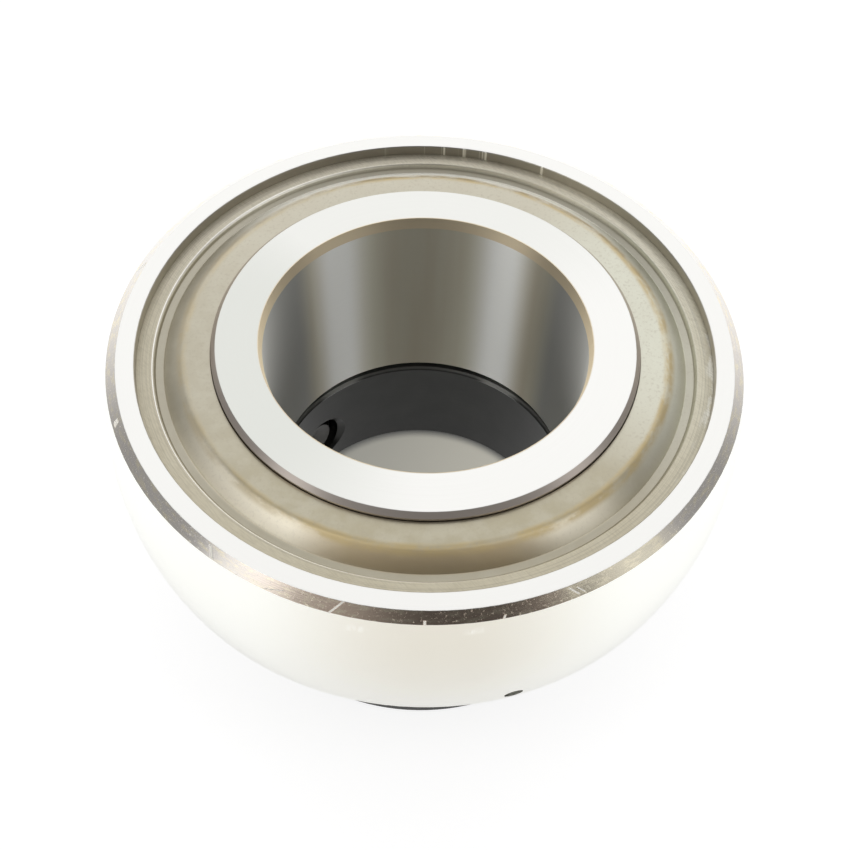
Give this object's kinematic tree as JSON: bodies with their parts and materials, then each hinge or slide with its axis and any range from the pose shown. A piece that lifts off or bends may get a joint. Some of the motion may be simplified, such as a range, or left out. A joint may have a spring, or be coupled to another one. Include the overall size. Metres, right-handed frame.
{
  "type": "insert bearing with eccentric locking collar",
  "caption": "Sealed ball bearing with a spherical outside for self-aligning housings, held on a shaft by an eccentric locking collar with a set screw.",
  "frame": {"origin": "centre of the spherical outside, on the shaft axis", "axes": "+Z along the shaft axis, away from the locking collar; +X and +Y across the ring"},
  "size_m": [0.08, 0.08, 0.047],
  "materials": {
    "outer_ring_steel": "fine ground bearing steel",
    "inner_ring_steel": "fine ground bearing steel",
    "ball_steel": "polished",
    "cage_steel": "pressed sheet steel",
    "zinc_sheet": "zinc-plated sheet, warm grey with light stains",
    "seal_rubber": "moulded nitrile rubber",
    "black_oxide_steel": "black oxide",
    "screw_steel": "plain steel set screw"
  },
  "bodies": {
    "outer": {"outer_ring": "outer_ring_steel", "seal_shroud_upper": "zinc_sheet", "seal_lip_upper": "seal_rubber", "seal_plate_upper": "zinc_sheet", "seal_shroud_lower": "zinc_sheet", "seal_lip_lower": "seal_rubber", "seal_plate_lower": "zinc_sheet"},
    "inner": {"inner_ring": "inner_ring_steel"},
    "cage": {"cage_half_upper": "cage_steel", "cage_half_lower": "cage_steel", "cage_rivets": "cage_steel"},
    "ball_1": {"ball_1": "ball_steel"},
    "ball_2": {"ball_2": "ball_steel"},
    "ball_3": {"ball_3": "ball_steel"},
    "ball_4": {"ball_4": "ball_steel"},
    "ball_5": {"ball_5": "ball_steel"},
    "ball_6": {"ball_6": "ball_steel"},
    "ball_7": {"ball_7": "ball_steel"},
    "ball_8": {"ball_8": "ball_steel"},
    "ball_9": {"ball_9": "ball_steel"},
    "collar": {"locking_collar": "black_oxide_steel"},
    "screw": {"set_screw": "screw_steel"}
  },
  "joints": [
    {"name": "inner_spin", "type": "hinge", "parent": "outer", "child": "inner", "pos_m": [0, 0, 0], "axis": [0, 0, 1], "continuous": true},
    {"name": "cage_spin", "type": "hinge", "parent": "outer", "child": "cage", "pos_m": [0, 0, 0], "axis": [0, 0, 1], "continuous": true},
    {"name": "ball_1_spin", "type": "hinge", "parent": "cage", "child": "ball_1", "pos_m": [0.03, 0, 0], "axis": [0, 0, 1], "continuous": true},
    {"name": "ball_2_spin", "type": "hinge", "parent": "cage", "child": "ball_2", "pos_m": [0.02298, 0.01928, 0], "axis": [0, 0, 1], "continuous": true},
    {"name": "ball_3_spin", "type": "hinge", "parent": "cage", "child": "ball_3", "pos_m": [0.00521, 0.02954, 0], "axis": [0, 0, 1], "continuous": true},
    {"name": "ball_4_spin", "type": "hinge", "parent": "cage", "child": "ball_4", "pos_m": [-0.015, 0.02598, 0], "axis": [0, 0, 1], "continuous": true},
    {"name": "ball_5_spin", "type": "hinge", "parent": "cage", "child": "ball_5", "pos_m": [-0.02819, 0.01026, 0], "axis": [0, 0, 1], "continuous": true},
    {"name": "ball_6_spin", "type": "hinge", "parent": "cage", "child": "ball_6", "pos_m": [-0.02819, -0.01026, 0], "axis": [0, 0, 1], "continuous": true},
    {"name": "ball_7_spin", "type": "hinge", "parent": "cage", "child": "ball_7", "pos_m": [-0.015, -0.02598, 0], "axis": [0, 0, 1], "continuous": true},
    {"name": "ball_8_spin", "type": "hinge", "parent": "cage", "child": "ball_8", "pos_m": [0.00521, -0.02954, 0], "axis": [0, 0, 1], "continuous": true},
    {"name": "ball_9_spin", "type": "hinge", "parent": "cage", "child": "ball_9", "pos_m": [0.02298, -0.01928, 0], "axis": [0, 0, 1], "continuous": true},
    {"name": "collar_turn", "type": "hinge", "parent": "inner", "child": "collar", "pos_m": [0, 0, -0.01545], "axis": [0, 0, 1], "range_deg": [-20, 20]},
    {"name": "set_screw_drive", "type": "slide", "parent": "collar", "child": "screw", "axis": [-0.7771, 0.6293, 0], "range_m": [-0.001, 0.006]}
  ],
  "couplings": [
    {"joint": "cage_spin", "follows": "inner_spin", "ratio": 0.40078},
    {"joint": "ball_1_spin", "follows": "inner_spin", "ratio": -2.4205},
    {"joint": "ball_2_spin", "follows": "inner_spin", "ratio": -2.4205},
    {"joint": "ball_3_spin", "follows": "inner_spin", "ratio": -2.4205},
    {"joint": "ball_4_spin", "follows": "inner_spin", "ratio": -2.4205},
    {"joint": "ball_5_spin", "follows": "inner_spin", "ratio": -2.4205},
    {"joint": "ball_6_spin", "follows": "inner_spin", "ratio": -2.4205},
    {"joint": "ball_7_spin", "follows": "inner_spin", "ratio": -2.4205},
    {"joint": "ball_8_spin", "follows": "inner_spin", "ratio": -2.4205},
    {"joint": "ball_9_spin", "follows": "inner_spin", "ratio": -2.4205}
  ]
}
